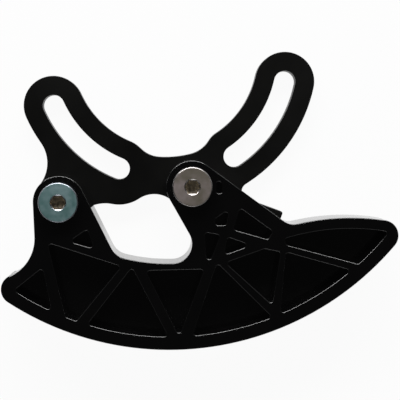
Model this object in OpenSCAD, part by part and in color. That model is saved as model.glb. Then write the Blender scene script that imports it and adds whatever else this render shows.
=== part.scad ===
// Chainring guard: a moulded bash guard with two legs, screwed to a slotted backplate
// that bolts to the face of a bicycle's bottom bracket shell.
// Millimetres. The origin is where the crank axis meets the backplate's rear face:
// +X is to the right of the front view, +Y is up it, and +Z comes out towards the viewer.

/* [Backplate] */
// Thickness of the plate
plate_thick = 4; // [3:0.5:5]
// Radius of the circle that the frame bolts stand on
slot_line_r = 36.5; // [36.2:0.1:36.8]
// Width of each slot
slot_w = 6.4; // [6.1:0.1:7]
// Angle that a bolt can travel along its slot
slot_sweep = 43.4; // [38:0.2:44]
// Direction of the middle of the left slot
left_slot_angle = 226; // [225:0.5:227]
// Angle from the middle of the left slot to the middle of the right one
slot_pitch_angle = 100; // [99:0.5:101]
// Width of each arm
arm_w = 17.7; // [17.2:0.1:18]
// Radius of the plate's upper edge between the arms
upper_edge_r = 30.3; // [30:0.1:30.6]

/* [Guard] */
// Thickness of the guard
guard_thick = 12; // [8:0.5:16]
// Depth of the pockets in its front
pocket_depth = 6; // [2:0.5:7]
// Radius of the long outer edge, which follows the chain's path
rim_r = 85; // [84.5:0.25:85.5]
// Width of the rim left outside the pockets
rim_w = 3.9; // [3:0.05:4.5]
// Radius of the lobe round each screw
lobe_r = 7.45; // [7.2:0.05:7.5]
// Radius in the sharp corners of the pockets
pocket_corner_r = 0.75; // [0.45:0.05:0.95]

/* [Screws] */
// Place of the left screw to the right of the crank axis
left_screw_x = -30.6; // [-30.8:0.05:-30.4]
// Place of the left screw above the crank axis
left_screw_y = -43; // [-43.2:0.05:-42.8]
// Place of the right screw to the right of the crank axis
right_screw_x = 7.65; // [7.45:0.05:7.85]
// Place of the right screw above the crank axis
right_screw_y = -38.6; // [-38.8:0.05:-38.4]
// Diameter of the shank
shank_d = 5.9; // [5:0.1:5.9]
// Diameter of the head
head_d = 11.4; // [10.6:0.1:12.4]
// Height of the head
head_h = 2.6; // [2.2:0.1:4]
// Chamfer round the face of the head
head_chamfer = 0.6; // [0.3:0.05:1]
// Hexagon socket across its flats
socket_af = 4; // [3:0.1:4]
// Diameter of the countersink at the socket's mouth
socket_mouth_d = 5; // [4.8:0.1:5.6]
// Depth of the socket
socket_depth = 2.2; // [1:0.1:2.5]
// Outer diameter of the sleeve that each screw clamps
sleeve_d = 10; // [8:0.1:10.4]
// Bore of the sleeve
sleeve_bore_d = 6.4; // [6.1:0.1:6.6]

/* [Hidden] */

$fn = 96;
// Furthest that a chord of an outline stands off its arc
chord_error = 0.01;
// Shortest step between two points of an outline
least_step = 0.02;
// Room all round the sleeve in the guard, and round the shank in the plate
sleeve_room = 0.05;
shank_room = 0.05;
// How far a cutting tool runs past the face that it cuts
past = 1;
// Chamfer on the tip of each screw
tip_chamfer = 0.6;

guard_front = plate_thick + guard_thick;
pocket_floor = guard_front - pocket_depth;
arm_in_r = slot_line_r - arm_w/2;
arm_out_r = slot_line_r + arm_w/2;
crank = [0, 0];
left_screw = [left_screw_x, left_screw_y];
right_screw = [right_screw_x, right_screw_y];
right_slot_angle = left_slot_angle + slot_pitch_angle;

// Outline geometry

function polar(centre, r, angle) = centre + r*[cos(angle), sin(angle)];

// A corner of an outline: where its arc is centred, and its radius
function at(centre, r) = [centre[0], centre[1], r];

// The point at distance ra from a and rb from b, to the left of the way from a to b
function meet(a, ra, b, rb) =
    let (
        gap = b - a,
        d = norm(gap),
        along = (ra*ra - rb*rb + d*d)/(2*d),
        aside = sqrt(ra*ra - along*along)
    )
    a + (along*gap + aside*[-gap[1], gap[0]])/d;

// The point furthest along a line, through start in the direction way, at distance r
// from the crank axis
function along_to(start, way, r) =
    let (foot = start*way)
    start + (sqrt(foot*foot - start*start + r*r) - foot)*way;

// Heading of the straight line that touches two corners in turn
function heading(a, b) =
    let (gap = [b[0] - a[0], b[1] - a[1]])
    atan2(gap[1], gap[0]) - asin(max(-1, min(1, (b[2] - a[2])/norm(gap))));

// An angle brought within a turn, with a turn of nearly nothing kept as that
function within_turn(angle) = (angle + 721) % 360 - 1;

function arc_points(corner, heading_in, heading_out) =
    let (
        turn = corner[2] > 0 ? within_turn(heading_out - heading_in)
                             : -within_turn(heading_in - heading_out),
        step = 2*acos(1 - chord_error/abs(corner[2])),
        steps = max(1, ceil(abs(turn)/step))
    )
    [for (i = [0:steps]) polar([corner[0], corner[1]], corner[2], heading_in + turn*i/steps - 90)];

// A closed outline, anticlockwise, through corners joined by the lines that touch them.
// A positive radius turns left, as an outer corner does, and a negative one turns right.
function outline(corners) =
    let (
        n = len(corners),
        headings = [for (i = [0:n - 1]) heading(corners[i], corners[(i + 1) % n])],
        points = [for (i = [0:n - 1])
            each arc_points(corners[i], headings[(i + n - 1) % n], headings[i])],
        m = len(points)
    )
    [for (i = [0:m - 1]) if (norm(points[i] - points[(i + m - 1) % m]) > least_step) points[i]];

// Backplate outline

// Shoulders, where the arms' inner edges turn in to the upper edge
right_shoulder_r = 6.9;
right_shoulder = polar(crank, arm_in_r + right_shoulder_r, 303.2);
right_hollow_r = 8.9;
right_hollow = meet(right_shoulder, right_shoulder_r + right_hollow_r,
                    crank, upper_edge_r - right_hollow_r);
left_shoulder_r = 10;
left_shoulder = polar(crank, arm_in_r + left_shoulder_r, 247.3);
left_hollow_r = 8.65;
left_hollow = meet(crank, upper_edge_r - left_hollow_r,
                   left_shoulder, left_shoulder_r + left_hollow_r);

// Lower edge, which swings round both screws and the left slot's lower end
plate_lobe_r = 7.4;
left_lobe = left_screw + [-0.4, 0.8];
slot_boss = polar(crank, slot_line_r, left_slot_angle + slot_sweep/2);
slot_boss_r = 10.8;
neck_r = 10.4;
neck = meet(left_lobe, plate_lobe_r + neck_r, crank, arm_out_r + neck_r);
valley_r = 10.8;
valley = meet(slot_boss, slot_boss_r + valley_r, left_lobe, plate_lobe_r + valley_r);
notch_r = 8.15;
notch = meet(right_screw, plate_lobe_r + notch_r, slot_boss, slot_boss_r + notch_r);

// Tail, which backs the guard beside the right screw
tail_angle = -20;
tail_end = [35.3, -46.85];
tail_w = 9.2;
tail_corner_r = 0.6;
tail_fillet_r = 2.5;
tail_along = [cos(tail_angle), sin(tail_angle)];
tail_across = [-sin(tail_angle), cos(tail_angle)];
tail_top = tail_end - tail_corner_r*(tail_along + tail_across);
tail_bottom = tail_top - (tail_w - 2*tail_corner_r)*tail_across;
tail_fillet = along_to(tail_end + tail_fillet_r*tail_across, tail_along, arm_out_r + tail_fillet_r);

plate_corners = [
    at(polar(crank, slot_line_r, right_slot_angle + slot_sweep/2), arm_w/2),
    at(crank, -arm_in_r),
    at(right_shoulder, right_shoulder_r),
    at(right_hollow, -right_hollow_r),
    at(crank, -upper_edge_r),
    at(left_hollow, -left_hollow_r),
    at(left_shoulder, left_shoulder_r),
    at(crank, -arm_in_r),
    at(polar(crank, slot_line_r, left_slot_angle - slot_sweep/2), arm_w/2),
    at(crank, arm_out_r),
    at(neck, -neck_r),
    at(left_lobe, plate_lobe_r),
    at(valley, -valley_r),
    at(slot_boss, slot_boss_r),
    at(notch, -notch_r),
    at(right_screw, plate_lobe_r),
    at(tail_bottom, tail_corner_r),
    at(tail_top, tail_corner_r),
    at(tail_fillet, -tail_fillet_r),
    at(crank, arm_out_r)
];

// Guard outline

rim_centre = [1.4, -0.9];
left_fin_r = 4.4;
left_fin = polar(rim_centre, rim_r - left_fin_r, 236.6);
right_fin_r = 4.5;
right_fin = polar(rim_centre, rim_r - right_fin_r, 319.8);
// Hollow between the left screw and the left fin
flare = [-49.6, -53.45];
flare_r = 11.95;
// Hollow behind the right fin
crook = [37, -44.25];
crook_r = 5.25;
// Back of the right fin
fin_back_r = 67.8;
fin_back = meet(right_fin, fin_back_r - right_fin_r, crook, fin_back_r + crook_r);
// Opening between the legs
opening_centre = [0.85, -6.85];
opening_r = 53.95;
opening_corner_r = 5.65;
opening_left = polar(opening_centre, opening_r - opening_corner_r, 256.3);
opening_right = polar(opening_centre, opening_r - opening_corner_r, 271.3);

guard_corners = [
    at(left_screw, lobe_r),
    at(flare, -flare_r),
    at(left_fin, left_fin_r),
    at(rim_centre, rim_r),
    at(right_fin, right_fin_r),
    at(fin_back, fin_back_r),
    at(crook, -crook_r),
    at(right_screw, lobe_r),
    at(opening_right, -opening_corner_r),
    at(opening_centre, -opening_r),
    at(opening_left, -opening_corner_r)
];

// Pockets in the guard's front

pocket_rim_r = rim_r - rim_w;
pocket_back_r = fin_back_r - 3.2;
fin_pocket_end = meet(rim_centre, pocket_rim_r - pocket_corner_r,
                      fin_back, pocket_back_r - pocket_corner_r);

function corner(centre) = at(centre, pocket_corner_r);

// A corner that touches the rim, in a given direction from the rim's centre
function rim_corner(angle) =
    corner(polar(rim_centre, pocket_rim_r - pocket_corner_r, angle));

// The rim's inner edge, between two corners that touch it
inner_rim = at(rim_centre, pocket_rim_r);

// Each pocket as an outline: first those along the rim, from the left fin to the right one,
// which leave the ribs between them, then the small ones up the two legs
pockets = [
    [corner([-35.9, -63.3]), rim_corner(237.1), inner_rim, rim_corner(243.9)],
    [corner([-14.1, -62]), corner([-32.8, -55.9]),
     rim_corner(248.4), inner_rim, rim_corner(250.1)],
    [corner([-9.8, -63.3]), rim_corner(253.6), inner_rim, rim_corner(268.6)],
    [corner([10, -63.3]), corner([-4.5, -63.6]), corner([3.8, -80.1])],
    [corner([15.2, -62.1]), rim_corner(275.3), inner_rim, rim_corner(290.4)],
    [corner([32.3, -58.2]), corner([28.6, -57.4]), corner([18.8, -60.9]), corner([30.3, -71.4])],
    [corner([35.4, -58.6]), rim_corner(294), inner_rim, rim_corner(309.1)],
    [corner([35.3, -54.2]), corner([35.5, -54.9]), rim_corner(312.4), inner_rim,
     corner(fin_pocket_end), at(fin_back, pocket_back_r)],
    [corner([21.8, -46]), corner([20.5, -50.5]), corner([29.2, -53]), corner([29.9, -51.8])],
    [corner([17.2, -46.8]), corner([15.1, -48.3]), corner([15.1, -49]), corner([16.8, -49])],
    [corner([12.1, -52.7]), corner([12.5, -58.8]), corner([14.7, -53.2])],
    [corner([18.4, -54.2]), corner([17.9, -57.2]), corner([22.3, -55.6])],
    [corner([15.3, -37.9]), corner([15.3, -39.8]), corner([15.6, -39.8])],
    [corner([-22.9, -52]), corner([-25.9, -54.1]), corner([-21.8, -55.3])]
];

// Pieces

module at_xy(place) translate([place[0], place[1], 0]) children();

module bore(place, r, height) at_xy(place) translate([0, 0, -past]) cylinder(r = r, h = height + 2*past);

// A slot that follows the circle of frame bolts, with round ends
module slot(middle_angle) {
    first_end = polar(crank, slot_line_r, middle_angle - slot_sweep/2);
    last_end = polar(crank, slot_line_r, middle_angle + slot_sweep/2);
    translate([0, 0, -past])
        linear_extrude(plate_thick + 2*past)
            polygon(outline([
                at(crank, slot_line_r + slot_w/2),
                at(last_end, slot_w/2),
                at(crank, slot_w/2 - slot_line_r),
                at(first_end, slot_w/2)
            ]));
}

module backplate() {
    color([0.09, 0.09, 0.095])
        difference() {
            linear_extrude(plate_thick) polygon(outline(plate_corners));
            slot(left_slot_angle);
            slot(right_slot_angle);
            for (place = [left_screw, right_screw])
                bore(place, shank_d/2 + shank_room, plate_thick);
        }
}

module bash_guard() {
    color([0.05, 0.05, 0.055])
        difference() {
            translate([0, 0, plate_thick])
                linear_extrude(guard_thick) polygon(outline(guard_corners));
            for (pocket = pockets)
                translate([0, 0, pocket_floor])
                    linear_extrude(pocket_depth + past) polygon(outline(pocket));
            for (place = [left_screw, right_screw])
                bore(place, sleeve_d/2 + sleeve_room, guard_front);
        }
}

// A socket-head screw whose tip is flush with the plate's rear face
module guard_screw(place) {
    shank_r = shank_d/2;
    head_r = head_d/2;
    head_top = guard_front + head_h;
    socket_mouth_r = socket_mouth_d/2;
    mouth_depth = socket_mouth_r - 0.9*socket_af/2;
    at_xy(place)
        difference() {
            rotate_extrude()
                polygon([
                    [0, 0],
                    [shank_r - tip_chamfer, 0],
                    [shank_r, tip_chamfer],
                    [shank_r, guard_front],
                    [head_r, guard_front],
                    [head_r, head_top - head_chamfer],
                    [head_r - head_chamfer, head_top],
                    [0, head_top]
                ]);
            translate([0, 0, head_top - socket_depth])
                cylinder(d = socket_af/cos(30), h = socket_depth + past, $fn = 6);
            translate([0, 0, head_top - mouth_depth])
                cylinder(r1 = socket_mouth_r - mouth_depth, r2 = socket_mouth_r + past,
                         h = mouth_depth + past);
        }
}

module guard_screw_left() {
    color([0.45, 0.53, 0.55]) guard_screw(left_screw);
}

module guard_screw_right() {
    color([0.55, 0.52, 0.48]) guard_screw(right_screw);
}

// A sleeve that keeps the screw from crushing the guard
module guard_sleeve(place) {
    at_xy(place)
        translate([0, 0, plate_thick])
            difference() {
                cylinder(d = sleeve_d, h = guard_thick);
                translate([0, 0, -past]) cylinder(d = sleeve_bore_d, h = guard_thick + 2*past);
            }
}

module guard_sleeve_left() {
    color([0.6, 0.6, 0.6]) guard_sleeve(left_screw);
}

module guard_sleeve_right() {
    color([0.6, 0.6, 0.6]) guard_sleeve(right_screw);
}

backplate();
bash_guard();
guard_screw_left();
guard_screw_right();
guard_sleeve_left();
guard_sleeve_right();
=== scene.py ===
import math

import bmesh
import bpy
from mathutils import Matrix, Vector


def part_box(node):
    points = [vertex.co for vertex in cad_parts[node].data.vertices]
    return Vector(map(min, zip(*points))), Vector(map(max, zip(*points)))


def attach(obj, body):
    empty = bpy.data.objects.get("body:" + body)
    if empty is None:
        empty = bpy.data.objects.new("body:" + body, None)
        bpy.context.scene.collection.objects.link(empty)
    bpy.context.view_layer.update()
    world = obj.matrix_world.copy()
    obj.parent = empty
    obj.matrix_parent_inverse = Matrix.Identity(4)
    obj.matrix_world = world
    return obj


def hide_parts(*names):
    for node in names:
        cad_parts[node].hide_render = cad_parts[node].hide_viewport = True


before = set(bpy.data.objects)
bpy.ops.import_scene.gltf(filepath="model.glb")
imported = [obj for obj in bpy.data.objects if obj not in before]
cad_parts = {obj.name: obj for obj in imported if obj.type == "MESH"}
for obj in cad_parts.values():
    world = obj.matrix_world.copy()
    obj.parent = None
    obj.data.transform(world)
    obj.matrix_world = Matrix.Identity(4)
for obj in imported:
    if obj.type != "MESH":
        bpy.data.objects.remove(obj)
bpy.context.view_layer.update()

MM = 0.001

# The camera hangs over the gap between the arms and looks almost straight down,
# a little towards the guard
CAMERA_AT = Vector((-0.74, -24.93, 301.7)) * MM
CAMERA_AIM = Vector((6.53, -36.89, 4.0)) * MM
CAMERA_LENS = 89.67
CAMERA_SENSOR = 36.0
CAMERA_SHIFT = (0.0317, -0.0525)
NEAREST_SEEN = 10 * MM

# Heights above the backplate's rear face
PLATE_BACK, PLATE_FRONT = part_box("backplate")[0].z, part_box("backplate")[1].z
GUARD_BACK, GUARD_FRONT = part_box("bash_guard")[0].z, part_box("bash_guard")[1].z
POCKET_DEPTH = 6.0 * MM

# Radii that moulding and deburring leave on the edges
GUARD_EDGE = 0.22 * MM
GUARD_BACK_EDGE = 0.2 * MM
POCKET_EDGE = 0.3 * MM
PLATE_EDGE = 0.15 * MM

# The guard screws, both alike. A seat is the face under a head, and a lip is the
# broken edge round a socket's mouth
HEAD_R = 5.7 * MM
HEAD_EDGE = 0.4 * MM
SEAT_INSET = 0.1 * MM
SHANK_R = 2.95 * MM
TIP_CHAMFER = 0.6 * MM
LIP_WIDTH = 0.05 * MM
LIP_DROP = 0.02 * MM
MOUTH_R = 2.32 * MM
MOUTH_SLOPE = 0.7
SOCKET_FLAT = 2.0 * MM
SOCKET_DEPTH = 2.2 * MM
FOOT_DROP = 0.05 * MM
DRILL_R = 1.7 * MM
DRILL_DEPTH = 0.9 * MM

# Turned faces go round in this many steps, and a ring this far inside the rim of a
# head's flat face keeps its shading level
TURN_STEPS = 96
FLAT_HOLD = 0.05 * MM
SHARP_ANGLE = math.radians(28)

# How upright the normal of a level face is, and how far its corners may stand off its height
LEVEL = 0.99
HEIGHT_SLACK = 0.01 * MM
FOOTPRINT_STEP = 0.0001 * MM * MM

# The floor lies just under the plate. It is bright to the camera, and less so in a gloss
FLOOR_HALF = 1.5
FLOOR_GAP = 0.05 * MM
FLOOR_SEEN = 0.95
FLOOR_MIRRORED = 0.6

# Brightness of the studio's air, low down on each side and overhead. The dark stretch
# between the sides is a share of the way over from the fill side, and the air darkens
# overhead between two heights on a sphere of radius one
AIR_WINDOW_SIDE = 0.9
AIR_FILL_SIDE = 0.45
AIR_BETWEEN = 0.06
BETWEEN_START, BETWEEN_END = 0.3, 0.65
AIR_OVERHEAD = 0.02
OVERHEAD_START, OVERHEAD_FULL = 0.35, 0.75

# Lamps, in metres and watts
LAMP_AIM = (0.008, -0.04, 0.01)
WINDOW_AT, WINDOW_SIZE, WINDOW_WATTS = (-0.06, 0.62, 0.37), (1.0, 0.22), 8.0
FILL_AT, FILL_SIZE, FILL_WATTS = (-0.15, -0.9, 0.35), (0.6, 0.2), 0.6

# Outlines taken from the solids


def flat_loops(node, height, facing):
    """The edges of a node's flat face at a height, as closed loops.
    Seen from the front, each has the material on its left."""
    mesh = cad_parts[node].data
    corners = [(round(v.co.x, 7), round(v.co.y, 7), v.co.z) for v in mesh.vertices]
    onward = set()
    for face in mesh.polygons:
        ring = [corners[i] for i in face.vertices]
        if face.normal.z * facing > LEVEL and all(abs(c[2] - height) < HEIGHT_SLACK for c in ring):
            ring = [c[:2] for c in ring][::int(facing)]
            onward.update(zip(ring, ring[1:] + ring[:1]))
    step = {a: b for a, b in onward if (b, a) not in onward}
    loops = []
    while step:
        start, here = step.popitem()
        loop = [Vector(start)]
        while here != start:
            loop.append(Vector(here))
            here = step.pop(here)
        loops.append(loop)
    return loops


def footprint(loop):
    """The area inside a loop in steps of 0.0001 square millimetres, to tell loops apart by."""
    doubled = sum(a.cross(b) for a, b in zip(loop, loop[1:] + loop[:1]))
    return round(abs(doubled) / 2 / FOOTPRINT_STEP)


def outward(loop):
    """For each point of a loop, the step out of the material that moves both its edges by one."""
    sides = [(b - a).normalized() for a, b in zip(loop, loop[1:] + loop[:1])]
    normals = [Vector((s.y, -s.x)) for s in sides]
    return [(m + n) / (1 + m.dot(n)) for m, n in zip(normals[-1:] + normals[:-1], normals)]


# Skins built on those outlines


class Skin:
    """A closed mesh made of walls that follow loops and flats that close them."""

    def __init__(self):
        self.bm = bmesh.new()
        self.normals = []

    def point(self, place, normal):
        self.normals.append(normal)
        return self.bm.verts.new(place)

    def wall(self, loop, profile):
        """Runs a wall along a loop and returns its first and last rings.
        The profile lists (inset, height, lean), where lean is how far the normal tips up."""
        steps = outward(loop)
        rings = []
        for inset, height, lean in profile:
            ring = []
            for p, s in zip(loop, steps):
                level = s.normalized() * math.cos(lean)
                ring.append(self.point((*(p - s * inset), height), (level.x, level.y, math.sin(lean))))
            rings.append(ring)
        for low, high in zip(rings, rings[1:]):
            for i, j in zip(range(-1, len(loop) - 1), range(len(loop))):
                self.bm.faces.new((low[i], low[j], high[j], high[i]))
        return rings[0], rings[-1]

    def flat(self, rings, facing):
        """Closes one or more rings at one height with a flat face, holes left open."""
        edges = [self.bm.edges.get((ring[i - 1], ring[i])) for ring in rings for i in range(len(ring))]
        made = bmesh.ops.triangle_fill(self.bm, use_beauty=True, edges=edges)["geom"]
        for face in made:
            if isinstance(face, bmesh.types.BMFace):
                face.normal_update()
                if face.normal.z * facing < 0:
                    face.normal_flip()

    def finish(self, name):
        """Makes the piece, smooth round its edges and level on its flats."""
        mesh = bpy.data.meshes.new(name)
        self.bm.verts.index_update()
        self.bm.to_mesh(mesh)
        self.bm.free()
        mesh.polygons.foreach_set("use_smooth", [True] * len(mesh.polygons))
        corners = []
        for face in mesh.polygons:
            level = abs(face.normal.z) > LEVEL
            corners += [face.normal if level else self.normals[i] for i in face.vertices]
        mesh.normals_split_custom_set(corners)
        piece = bpy.data.objects.new(name, mesh)
        bpy.context.scene.collection.objects.link(piece)
        return piece


def rounded_edge(radius, height, facing, steps=4):
    """The profile of a rounded edge, from the wall to the flat at a height."""
    turns = [math.pi / 2 * i / steps for i in range(steps + 1)]
    return [(radius * (1 - math.cos(a)), height - facing * radius * (1 - math.sin(a)), facing * a)
            for a in turns]


def through_profile(back, front, back_edge, front_edge):
    """A wall from the back flat to the front flat, rounded at both."""
    return rounded_edge(back_edge, back, -1)[::-1] + rounded_edge(front_edge, front, 1)


def make_backplate():
    skin = Skin()
    profile = through_profile(PLATE_BACK, PLATE_FRONT, PLATE_EDGE, PLATE_EDGE)
    ends = [skin.wall(loop, profile) for loop in flat_loops("backplate", PLATE_FRONT, 1)]
    skin.flat([back for back, front in ends], -1)
    skin.flat([front for back, front in ends], 1)
    return skin.finish("backplate_body")


def make_bash_guard():
    """The loops that the guard's back has too run through it, and every other one is a pocket."""
    skin = Skin()
    through = through_profile(GUARD_BACK, GUARD_FRONT, GUARD_BACK_EDGE, GUARD_EDGE)
    pocket = [(0, GUARD_FRONT - POCKET_DEPTH, 0)] + rounded_edge(POCKET_EDGE, GUARD_FRONT, 1)
    front_loops = flat_loops("bash_guard", GUARD_FRONT, 1)
    back_footprints = [footprint(loop) for loop in flat_loops("bash_guard", GUARD_BACK, -1)]
    fronts, backs = [], []
    for loop in front_loops:
        if footprint(loop) in back_footprints:
            back, front = skin.wall(loop, through)
            backs.append(back)
        else:
            floor, front = skin.wall(loop, pocket)
            skin.flat([floor], 1)
        fronts.append(front)
    skin.flat(fronts, 1)
    skin.flat(backs, -1)
    return skin.finish("bash_guard_moulding")


# Turned screws


class Turned:
    """A closed mesh of rings about an upright axis, from the bottom up, with a point at each end.
    Faces take the finish that finish_index names when they are made."""

    def __init__(self, centre):
        self.bm = bmesh.new()
        self.centre = centre
        self.last = None
        self.finish_index = 0

    def ring(self, radius, height):
        """The next ring. The radius, and the height too, may be functions of the angle."""
        points = []
        for i in range(TURN_STEPS):
            angle = 2 * math.pi * i / TURN_STEPS
            r = radius(angle) if callable(radius) else radius
            h = height(angle) if callable(height) else height
            points.append(self.bm.verts.new((self.centre.x + r * math.cos(angle),
                                             self.centre.y + r * math.sin(angle), h)))
        if self.last is not None:
            for i in range(TURN_STEPS):
                self.face((self.last[i - 1], self.last[i], points[i], points[i - 1]))
        self.last = points

    def face(self, corners):
        self.bm.faces.new(corners).material_index = self.finish_index

    def close(self, height, facing):
        """Brings the last ring to a point on the axis."""
        tip = self.bm.verts.new((self.centre.x, self.centre.y, height))
        for i in range(TURN_STEPS):
            corners = (self.last[i - 1], self.last[i], tip)
            self.face(corners if facing > 0 else corners[::-1])

    def finish(self, name):
        mesh = bpy.data.meshes.new(name)
        self.bm.to_mesh(mesh)
        self.bm.free()
        mesh.polygons.foreach_set("use_smooth", [True] * len(mesh.polygons))
        mesh.set_sharp_from_angle(angle=SHARP_ANGLE)
        piece = bpy.data.objects.new(name, mesh)
        bpy.context.scene.collection.objects.link(piece)
        return piece


def quarter_round(centre_r, centre_h, radius, steps=8):
    """Ring radii and heights up a quarter of a circle, from level outward to straight up."""
    turns = [math.pi / 2 * i / steps for i in range(steps + 1)]
    return [(centre_r + radius * math.cos(a), centre_h + radius * math.sin(a)) for a in turns]


def socket_radius(angle):
    """How far the hexagon socket, with its corners along X, reaches in a direction."""
    sixth = math.pi / 3
    return SOCKET_FLAT / math.cos(angle % sixth - sixth / 2)


def make_guard_screw(node):
    """A screw from its tip up over its head, then down the countersunk mouth into the socket."""
    low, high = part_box(node)
    top = high.z
    lip = top - LIP_DROP
    foot = top - SOCKET_DEPTH

    def countersink(angle):
        return lip - (MOUTH_R - socket_radius(angle)) * MOUTH_SLOPE

    screw = Turned((low + high) / 2)
    screw.ring(SHANK_R - TIP_CHAMFER, low.z)
    screw.close(low.z, -1)
    screw.ring(SHANK_R, low.z + TIP_CHAMFER)
    screw.ring(SHANK_R, GUARD_FRONT)
    screw.ring(HEAD_R - SEAT_INSET, GUARD_FRONT)
    for r, h in quarter_round(HEAD_R - HEAD_EDGE, top - HEAD_EDGE, HEAD_EDGE):
        screw.ring(r, h)
    screw.ring(HEAD_R - HEAD_EDGE - FLAT_HOLD, top)
    screw.ring(MOUTH_R + LIP_WIDTH + FLAT_HOLD, top)
    screw.ring(MOUTH_R + LIP_WIDTH, top)
    screw.ring(MOUTH_R, lip)
    screw.ring(socket_radius, countersink)
    screw.finish_index = 1
    screw.ring(socket_radius, foot)
    screw.ring(DRILL_R, foot - FOOT_DROP)
    screw.close(foot - DRILL_DEPTH, 1)
    return screw.finish(node + "_turned")


# Finishes

# A Mix node's sockets when it mixes colours
COLOUR_A, COLOUR_B, COLOUR_OUT = 6, 7, 2

COAT_ROUGHNESS = 0.12
RELIEF_STRENGTH = 0.25
# The part of a noise's range that the drift of tone is spread over
DRIFT_LOW, DRIFT_HIGH = 0.3, 0.7
# How upright a normal is where wear starts, and where the plating is rubbed through
WEAR_START, WEAR_FULL = 0.99, 0.93


def shader(name):
    material = bpy.data.materials.new(name)
    material.use_nodes = True
    return material, material.node_tree.nodes, material.node_tree.links


def grain_group():
    """Fine even grain for moulded, anodised and plated skins: a height and a slow drift of tone."""
    group = bpy.data.node_groups.new("surface_grain", "ShaderNodeTree")
    group.interface.new_socket("Grain Scale", in_out="INPUT", socket_type="NodeSocketFloat")
    group.interface.new_socket("Drift Scale", in_out="INPUT", socket_type="NodeSocketFloat")
    group.interface.new_socket("Height", in_out="OUTPUT", socket_type="NodeSocketFloat")
    group.interface.new_socket("Drift", in_out="OUTPUT", socket_type="NodeSocketFloat")
    nodes, links = group.nodes, group.links
    entry = nodes.new("NodeGroupInput")
    leave = nodes.new("NodeGroupOutput")
    place = nodes.new("ShaderNodeTexCoord")
    fine = nodes.new("ShaderNodeTexNoise")
    fine.inputs["Detail"].default_value = 3
    slow = nodes.new("ShaderNodeTexNoise")
    slow.inputs["Detail"].default_value = 2
    links.new(entry.outputs["Grain Scale"], fine.inputs["Scale"])
    links.new(entry.outputs["Drift Scale"], slow.inputs["Scale"])
    for noise in (fine, slow):
        links.new(place.outputs["Object"], noise.inputs["Vector"])
    links.new(fine.outputs["Fac"], leave.inputs["Height"])
    spread = nodes.new("ShaderNodeMapRange")
    spread.inputs["From Min"].default_value = DRIFT_LOW
    spread.inputs["From Max"].default_value = DRIFT_HIGH
    links.new(slow.outputs["Fac"], spread.inputs["Value"])
    links.new(spread.outputs["Result"], leave.inputs["Drift"])
    return group


GRAIN = grain_group()


def grained_finish(name, dark, light, metallic, rough, grain_scale, drift_scale, bump,
                   coat=0, worn=None):
    """A finish whose colour and roughness drift between two values over a fine grain.
    With a worn colour, edges off the level faces are rubbed to it and twice as smooth."""
    material, nodes, links = shader(name)
    skin = nodes["Principled BSDF"]
    skin.inputs["Metallic"].default_value = metallic
    skin.inputs["Coat Weight"].default_value = coat
    skin.inputs["Coat Roughness"].default_value = COAT_ROUGHNESS
    surface = nodes.new("ShaderNodeGroup")
    surface.node_tree = GRAIN
    surface.inputs["Grain Scale"].default_value = grain_scale
    surface.inputs["Drift Scale"].default_value = drift_scale
    tone = nodes.new("ShaderNodeMix")
    tone.data_type = "RGBA"
    tone.inputs[COLOUR_A].default_value = (*dark, 1)
    tone.inputs[COLOUR_B].default_value = (*light, 1)
    links.new(surface.outputs["Drift"], tone.inputs["Factor"])
    gloss = nodes.new("ShaderNodeMapRange")
    gloss.inputs["To Min"].default_value = rough[0]
    gloss.inputs["To Max"].default_value = rough[1]
    links.new(surface.outputs["Drift"], gloss.inputs["Value"])
    colour, roughness = tone.outputs[COLOUR_OUT], gloss.outputs["Result"]
    if worn:
        shape = nodes.new("ShaderNodeNewGeometry")
        slope = nodes.new("ShaderNodeSeparateXYZ")
        links.new(shape.outputs["Normal"], slope.inputs[0])
        wear = nodes.new("ShaderNodeMapRange")
        wear.inputs["From Min"].default_value = WEAR_START
        wear.inputs["From Max"].default_value = WEAR_FULL
        links.new(slope.outputs["Z"], wear.inputs["Value"])
        rubbed = nodes.new("ShaderNodeMix")
        rubbed.data_type = "RGBA"
        rubbed.inputs[COLOUR_B].default_value = (*worn, 1)
        links.new(wear.outputs["Result"], rubbed.inputs["Factor"])
        links.new(colour, rubbed.inputs[COLOUR_A])
        polish = nodes.new("ShaderNodeMix")
        polish.inputs["B"].default_value = rough[0] / 2
        links.new(wear.outputs["Result"], polish.inputs["Factor"])
        links.new(roughness, polish.inputs["A"])
        colour, roughness = rubbed.outputs[COLOUR_OUT], polish.outputs["Result"]
    links.new(colour, skin.inputs["Base Color"])
    links.new(roughness, skin.inputs["Roughness"])
    relief = nodes.new("ShaderNodeBump")
    relief.inputs["Strength"].default_value = RELIEF_STRENGTH
    relief.inputs["Distance"].default_value = bump
    links.new(surface.outputs["Height"], relief.inputs["Height"])
    links.new(relief.outputs["Normal"], skin.inputs["Normal"])
    return material


BLACK_NYLON = grained_finish(
    "black_nylon", dark=(0.0012, 0.0012, 0.0013), light=(0.0018, 0.0017, 0.0018), metallic=0,
    rough=(0.11, 0.16), grain_scale=6000, drift_scale=90, bump=0.004 * MM, coat=1)
BLACK_ANODISE = grained_finish(
    "black_anodise", dark=(0.0026, 0.0026, 0.0023), light=(0.0040, 0.0039, 0.0035), metallic=0,
    rough=(0.30, 0.36), grain_scale=9000, drift_scale=70, bump=0.006 * MM)
BLUE_ZINC = grained_finish(
    "blue_zinc_plate", dark=(0.24, 0.46, 0.45), light=(0.41, 0.58, 0.60), metallic=1,
    rough=(0.5, 0.58), grain_scale=5000, drift_scale=350, bump=0.004 * MM, worn=(0.36, 0.39, 0.43))
DULL_NICKEL = grained_finish(
    "dull_nickel_plate", dark=(0.39, 0.35, 0.28), light=(0.51, 0.44, 0.43), metallic=1,
    rough=(0.5, 0.58), grain_scale=5000, drift_scale=350, bump=0.004 * MM, worn=(0.43, 0.41, 0.40))
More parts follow.
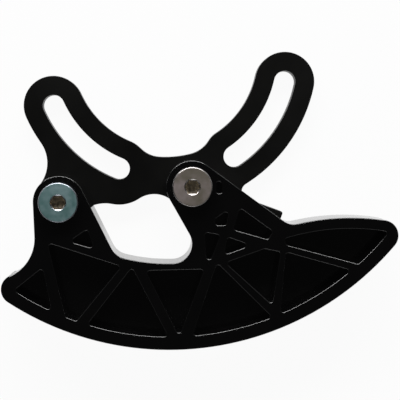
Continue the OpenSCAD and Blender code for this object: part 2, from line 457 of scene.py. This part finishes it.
SOCKET_STEEL = grained_finish(
    "broached_steel", dark=(0.40, 0.35, 0.28), light=(0.95, 0.84, 0.66), metallic=1,
    rough=(0.3, 0.42), grain_scale=4000, drift_scale=900, bump=0.01 * MM)
SLEEVE_STEEL = grained_finish(
    "turned_steel", dark=(0.4, 0.4, 0.4), light=(0.5, 0.5, 0.5), metallic=1,
    rough=(0.3, 0.4), grain_scale=7000, drift_scale=300, bump=0.01 * MM)


def fit(piece, node, slot, *finishes):
    """Puts a piece in a solid's place, with its finishes."""
    for finish in finishes:
        piece.data.materials.append(finish)
    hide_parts(node)
    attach(piece, "root")


fit(make_backplate(), "backplate", "plate", BLACK_ANODISE)
fit(make_bash_guard(), "bash_guard", "guard", BLACK_NYLON)
fit(make_guard_screw("guard_screw_left"), "guard_screw_left", "blue_zinc", BLUE_ZINC, SOCKET_STEEL)
fit(make_guard_screw("guard_screw_right"), "guard_screw_right", "nickel", DULL_NICKEL, SOCKET_STEEL)
for side in ("left", "right"):
    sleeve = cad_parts["guard_sleeve_" + side]
    sleeve.data.materials.clear()
    sleeve.data.materials.append(SLEEVE_STEEL)

# Studio


def make_camera():
    """Looks from its place to its aim, with the top of the picture towards the arms."""
    data = bpy.data.cameras.new("camera")
    data.lens = CAMERA_LENS
    data.sensor_width = CAMERA_SENSOR
    data.clip_start = NEAREST_SEEN
    data.shift_x, data.shift_y = CAMERA_SHIFT
    camera = bpy.data.objects.new("camera", data)
    camera.location = CAMERA_AT
    back = (CAMERA_AT - CAMERA_AIM).normalized()
    right = Vector((0, 1, 0)).cross(back).normalized()
    camera.rotation_euler = Matrix((right, back.cross(right), back)).transposed().to_euler()
    bpy.context.scene.collection.objects.link(camera)
    bpy.context.scene.camera = camera


def seen_shares(nodes, links, direct, mirrored):
    """One share for rays from the camera, another for those off a gloss or through glass,
    and none for the rest."""
    path = nodes.new("ShaderNodeLightPath")
    either = nodes.new("ShaderNodeMath")
    either.operation = "MAXIMUM"
    links.new(path.outputs["Is Glossy Ray"], either.inputs[0])
    links.new(path.outputs["Is Transmission Ray"], either.inputs[1])
    second = nodes.new("ShaderNodeMath")
    second.operation = "MULTIPLY"
    second.inputs[1].default_value = mirrored
    links.new(either.outputs[0], second.inputs[0])
    first = nodes.new("ShaderNodeMath")
    first.operation = "MULTIPLY"
    first.inputs[1].default_value = direct
    links.new(path.outputs["Is Camera Ray"], first.inputs[0])
    total = nodes.new("ShaderNodeMath")
    total.operation = "MAXIMUM"
    links.new(first.outputs[0], total.inputs[0])
    links.new(second.outputs[0], total.inputs[1])
    return total.outputs[0]


def make_floor():
    """White paper that keeps the object's shadow and glows a little where it is seen."""
    mesh = bpy.data.meshes.new("floor")
    low, high, height = -FLOOR_HALF, FLOOR_HALF, PLATE_BACK - FLOOR_GAP
    corners = [(low, low, height), (high, low, height), (high, high, height), (low, high, height)]
    mesh.from_pydata(corners, [], [(0, 1, 2, 3)])
    floor = bpy.data.objects.new("floor", mesh)
    bpy.context.scene.collection.objects.link(floor)
    material, nodes, links = shader("white_floor")
    paper = nodes["Principled BSDF"]
    paper.inputs["Base Color"].default_value = (0.9, 0.9, 0.9, 1)
    paper.inputs["Roughness"].default_value = 0.9
    glow = nodes.new("ShaderNodeEmission")
    blend = nodes.new("ShaderNodeMixShader")
    links.new(seen_shares(nodes, links, FLOOR_SEEN, FLOOR_MIRRORED), blend.inputs[0])
    links.new(paper.outputs[0], blend.inputs[1])
    links.new(glow.outputs[0], blend.inputs[2])
    links.new(blend.outputs[0], nodes["Material Output"].inputs["Surface"])
    mesh.materials.append(material)


def make_world():
    """White to the camera. To the object, bright low on the window lamp's side, less so on the
    fill lamp's, and dark between them and overhead."""
    world = bpy.data.worlds.new("studio")
    bpy.context.scene.world = world
    world.use_nodes = True
    nodes, links = world.node_tree.nodes, world.node_tree.links
    air = nodes["Background"]
    air.inputs["Color"].default_value = (1, 1, 1, 1)
    place = nodes.new("ShaderNodeTexCoord")
    split = nodes.new("ShaderNodeSeparateXYZ")
    links.new(place.outputs["Generated"], split.inputs[0])
    across = nodes.new("ShaderNodeMapRange")
    across.inputs["From Min"].default_value = -1
    across.inputs["From Max"].default_value = 1
    links.new(split.outputs["Y"], across.inputs["Value"])
    horizon = nodes.new("ShaderNodeValToRGB")
    ramp = horizon.color_ramp
    ramp.elements[0].color = (AIR_FILL_SIDE, AIR_FILL_SIDE, AIR_FILL_SIDE, 1)
    ramp.elements[1].color = (AIR_WINDOW_SIDE, AIR_WINDOW_SIDE, AIR_WINDOW_SIDE, 1)
    for spot in (BETWEEN_START, BETWEEN_END):
        ramp.elements.new(spot).color = (AIR_BETWEEN, AIR_BETWEEN, AIR_BETWEEN, 1)
    links.new(across.outputs["Result"], horizon.inputs["Fac"])
    climb = nodes.new("ShaderNodeMapRange")
    climb.interpolation_type = "SMOOTHSTEP"
    climb.inputs["From Min"].default_value = OVERHEAD_START
    climb.inputs["From Max"].default_value = OVERHEAD_FULL
    links.new(split.outputs["Z"], climb.inputs["Value"])
    level = nodes.new("ShaderNodeMix")
    level.inputs["B"].default_value = AIR_OVERHEAD
    links.new(climb.outputs["Result"], level.inputs["Factor"])
    links.new(horizon.outputs["Color"], level.inputs["A"])
    path = nodes.new("ShaderNodeLightPath")
    choose = nodes.new("ShaderNodeMix")
    choose.inputs["B"].default_value = 1
    links.new(path.outputs["Is Camera Ray"], choose.inputs["Factor"])
    links.new(level.outputs["Result"], choose.inputs["A"])
    links.new(choose.outputs["Result"], air.inputs["Strength"])


def make_lamp(name, place, size, watts):
    data = bpy.data.lights.new(name, "AREA")
    data.shape = "RECTANGLE"
    data.size, data.size_y = size
    data.energy = watts
    lamp = bpy.data.objects.new(name, data)
    lamp.location = place
    lamp.rotation_mode = "QUATERNION"
    lamp.rotation_quaternion = (Vector(LAMP_AIM) - Vector(place)).to_track_quat("-Z", "Y")
    bpy.context.scene.collection.objects.link(lamp)


make_camera()
make_floor()
make_world()
make_lamp("window_light", WINDOW_AT, WINDOW_SIZE, WINDOW_WATTS)
make_lamp("fill_light", FILL_AT, FILL_SIZE, FILL_WATTS)

bpy.context.scene.view_settings.view_transform = "Standard"
